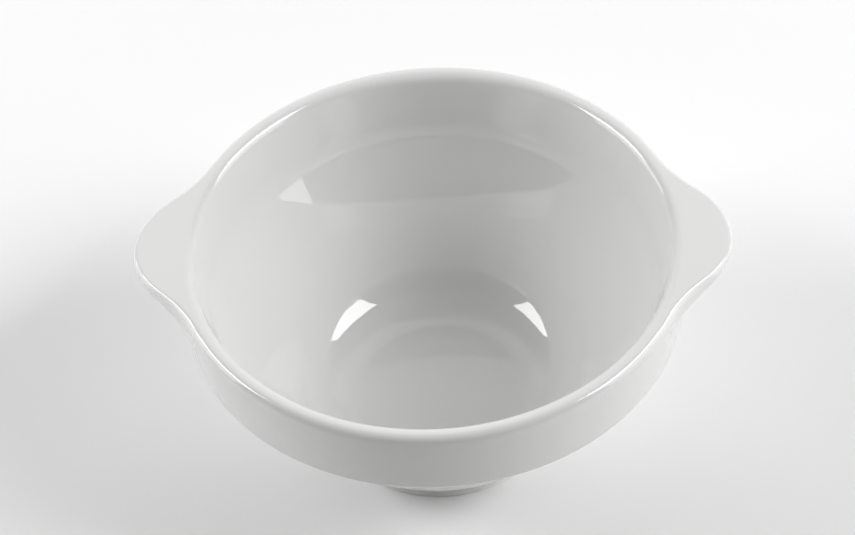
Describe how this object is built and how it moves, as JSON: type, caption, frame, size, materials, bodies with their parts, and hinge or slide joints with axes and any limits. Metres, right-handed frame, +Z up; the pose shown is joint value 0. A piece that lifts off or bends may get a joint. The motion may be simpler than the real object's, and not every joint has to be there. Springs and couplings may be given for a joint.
{
  "type": "lug soup bowl",
  "caption": "Glazed white porcelain soup bowl on a foot ring, with an upright collar, a stacking step, a cone-shaped inside and level lugs at the rim to hold it by.",
  "frame": {"origin": "centre of the foot ring on the surface that the bowl stands on", "axes": "+Z up along the bowl's axis, +X through the right lug"},
  "size_m": [0.147, 0.127, 0.0629],
  "materials": {
    "porcelain": "fired clay, dry and fine-grained where the foot is left bare",
    "slip": "fired slip, fine-grained",
    "glaze": "clear white glaze, high gloss"
  },
  "bodies": {
    "root": {"bowl_body": "porcelain", "foot_ring": "porcelain", "lug_left": "porcelain", "lug_right": "porcelain", "slip_joint_left": "slip", "slip_joint_right": "slip", "slip_joint_foot": "slip", "glaze_coat": "glaze", "base_glaze": "glaze"}
  },
  "joints": []
}
